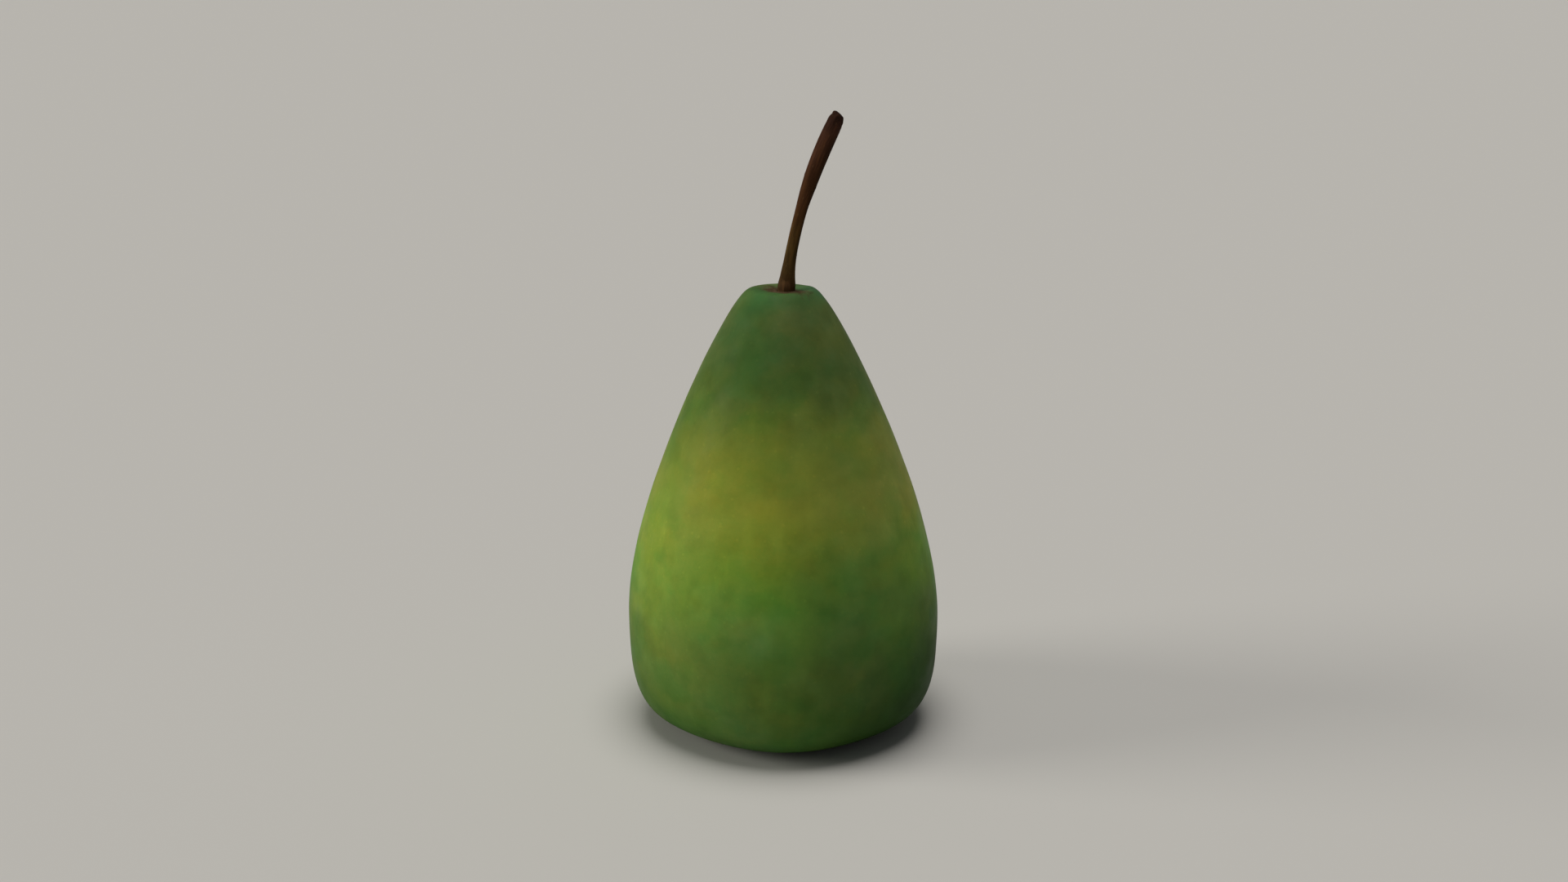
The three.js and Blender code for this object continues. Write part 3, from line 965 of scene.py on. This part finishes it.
calyx_maker = bmesh.new()
calyx_random = random.Random(CALYX_SEED)
for i in range(SEPALS):
    turn = i * 2 * math.pi / SEPALS + calyx_random.uniform(-SEPAL_TURN_SPREAD, SEPAL_TURN_SPREAD)
    droop_end = SEPAL_END_DROOP + calyx_random.uniform(*SEPAL_DROOP_SPREAD)
    curl = calyx_random.uniform(*SEPAL_CURLS) * calyx_random.choice((-1, 1))
    add_sepal(calyx_maker, turn, droop_end, curl, i * WRINKLE_STEP)
bmesh.ops.recalc_face_normals(calyx_maker, faces=calyx_maker.faces)
bmesh.ops.solidify(calyx_maker, geom=calyx_maker.faces, thickness=SEPAL_THICKNESS)
cup = spin_profile(smooth_through(CUP_PROFILE, CUP_RINGS_PER_STRETCH), CUP_AROUND)
lump_scale, lump_share = CUP_LUMPS
for vert in cup.verts:
    angle = math.atan2(vert.co.y, vert.co.x)
    ribs = CUP_RIB_SHARE * math.cos(CUP_RIBS * angle)
    spread = 1 + ribs + lump_share * noise.noise(vert.co * lump_scale)
    vert.co = Vector((vert.co.x * spread, vert.co.y * spread, vert.co.z))
cup_mesh = bpy.data.meshes.new("calyx_cup")
cup.to_mesh(cup_mesh)
cup.free()
calyx_maker.from_mesh(cup_mesh)
bpy.data.meshes.remove(cup_mesh)
bmesh.ops.translate(calyx_maker, vec=to_origin, verts=calyx_maker.verts)

# Dry brown leaf, darker in clouds and pale in fine spots.
DRY_DARK = "2b2018"
DRY_BROWN = "6a5238"
DRY_PALE = "8a7658"
DRY_CLOUD_SCALE = 600
DRY_BROWN_BAND = (0.38, 0.62)
DRY_FINE_SCALE = 3200
DRY_PALE_BAND = (0.5, 0.7)
DRY_PALE_COVER = 0.5
DRY_ROUGHNESS_BAND = (0.3, 0.7)
DRY_ROUGHNESS = (0.75, 0.95)
DRY_SPECULAR = 0.15
DRY_BUMP = 0.0001

dry_leaf, dry_tree, dry_shader = new_material("dry_calyx_leaf", DRY_SPECULAR)
dry_place = add_node(dry_tree, "TexCoord").outputs["Object"]
dry_cloud = noise_at(dry_tree, dry_place, DRY_CLOUD_SCALE, detail=4, roughness=0.6).outputs["Fac"]
dry_fine = noise_at(dry_tree, dry_place, DRY_FINE_SCALE, detail=3).outputs["Fac"]
brown = remap(dry_tree, dry_cloud, *DRY_BROWN_BAND)
dry_colour = mix_colour(dry_tree, brown, paint(DRY_DARK), paint(DRY_BROWN))
pale = remap(dry_tree, dry_fine, *DRY_PALE_BAND, 0, DRY_PALE_COVER)
dry_colour = mix_colour(dry_tree, pale, dry_colour, paint(DRY_PALE))
dry_tree.links.new(dry_colour, dry_shader.inputs["Base Color"])
dry_roughness = remap(dry_tree, dry_fine, *DRY_ROUGHNESS_BAND, *DRY_ROUGHNESS)
dry_tree.links.new(dry_roughness, dry_shader.inputs["Roughness"])
dry_bump = add_node(dry_tree, "Bump", {"Height": dry_fine, "Distance": DRY_BUMP, "Strength": 1})
dry_tree.links.new(dry_bump.outputs["Normal"], dry_shader.inputs["Normal"])

calyx = add_piece("pear_calyx", calyx_maker, dry_leaf)
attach(calyx, "root")
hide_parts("calyx")

# ---------------------------------------------------------------------------------------------------------
# Stamens
# A tuft of withered threads left in the cup of the calyx, each with a tiny dry anther on its end. They
# point down and out of the basin and are matted every way.
STAMENS = 22
STAMEN_ROOT_HEIGHT = 0.006
STAMEN_ROOT_RADII = (0.0003, 0.0011)
STAMEN_LENGTHS = (0.0018, 0.0034)
STAMEN_LEANS = (0.1, 0.55)
STAMEN_LEAN_START = 0.4
STAMEN_LEAN_GROWTH = 1.2
STAMEN_TURN_SPREAD = 0.3
STAMEN_SWAY = 0.5
STAMEN_SEED = 11
STAMEN_RADIUS = 0.00007
STAMEN_STEPS = 7
STAMEN_SIDES = 5
ANTHER_LENGTH = 0.00045
ANTHER_RADIUS = 0.00019

stamen_maker = bmesh.new()
stamen_random = random.Random(STAMEN_SEED)
for i in range(STAMENS):
    turn = i * 2 * math.pi / STAMENS + stamen_random.uniform(-STAMEN_TURN_SPREAD, STAMEN_TURN_SPREAD)
    root_radius = stamen_random.uniform(*STAMEN_ROOT_RADII)
    length = stamen_random.uniform(*STAMEN_LENGTHS)
    lean = stamen_random.uniform(*STAMEN_LEANS)
    sway = stamen_random.uniform(-STAMEN_SWAY, STAMEN_SWAY)
    root = Vector((root_radius * math.cos(turn), root_radius * math.sin(turn), STAMEN_ROOT_HEIGHT))
    ring = bmesh.ops.create_circle(stamen_maker, segments=STAMEN_SIDES, radius=STAMEN_RADIUS, cap_ends=True)
    bmesh.ops.translate(stamen_maker, vec=root, verts=ring["verts"])
    edges = list(dict.fromkeys(edge for vert in ring["verts"] for edge in vert.link_edges))
    for step in range(STAMEN_STEPS):
        tilt = lean * (STAMEN_LEAN_START + STAMEN_LEAN_GROWTH * step / STAMEN_STEPS)
        sideways = math.sin(sway * step / STAMEN_STEPS)
        way = Vector((math.sin(tilt), sideways, -math.cos(tilt))).normalized()
        way.rotate(Matrix.Rotation(turn, 3, "Z"))
        pulled = bmesh.ops.extrude_edge_only(stamen_maker, edges=edges)["geom"]
        verts = [item for item in pulled if isinstance(item, bmesh.types.BMVert)]
        edges = [item for item in pulled if isinstance(item, bmesh.types.BMEdge)]
        edges = [edge for edge in edges if all(vert in verts for vert in edge.verts)]
        bmesh.ops.translate(stamen_maker, vec=way * length / STAMEN_STEPS, verts=verts)
    bmesh.ops.edgeloop_fill(stamen_maker, edges=edges)
    end = sum((vert.co for vert in verts), Vector()) / len(verts)
    anther = bmesh.ops.create_icosphere(stamen_maker, subdivisions=2, radius=ANTHER_RADIUS)
    stretch = Matrix.Diagonal((1, 1, ANTHER_LENGTH / ANTHER_RADIUS / 2))
    tip_turn = Vector((0, 0, -1)).rotation_difference(way).to_matrix()
    bmesh.ops.transform(stamen_maker, matrix=(tip_turn @ stretch).to_4x4(), verts=anther["verts"])
    bmesh.ops.translate(stamen_maker, vec=end, verts=anther["verts"])
bmesh.ops.recalc_face_normals(stamen_maker, faces=stamen_maker.faces)
bmesh.ops.translate(stamen_maker, vec=to_origin, verts=stamen_maker.verts)

stamens = add_piece("pear_stamens", stamen_maker, dry_leaf)
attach(stamens, "root")
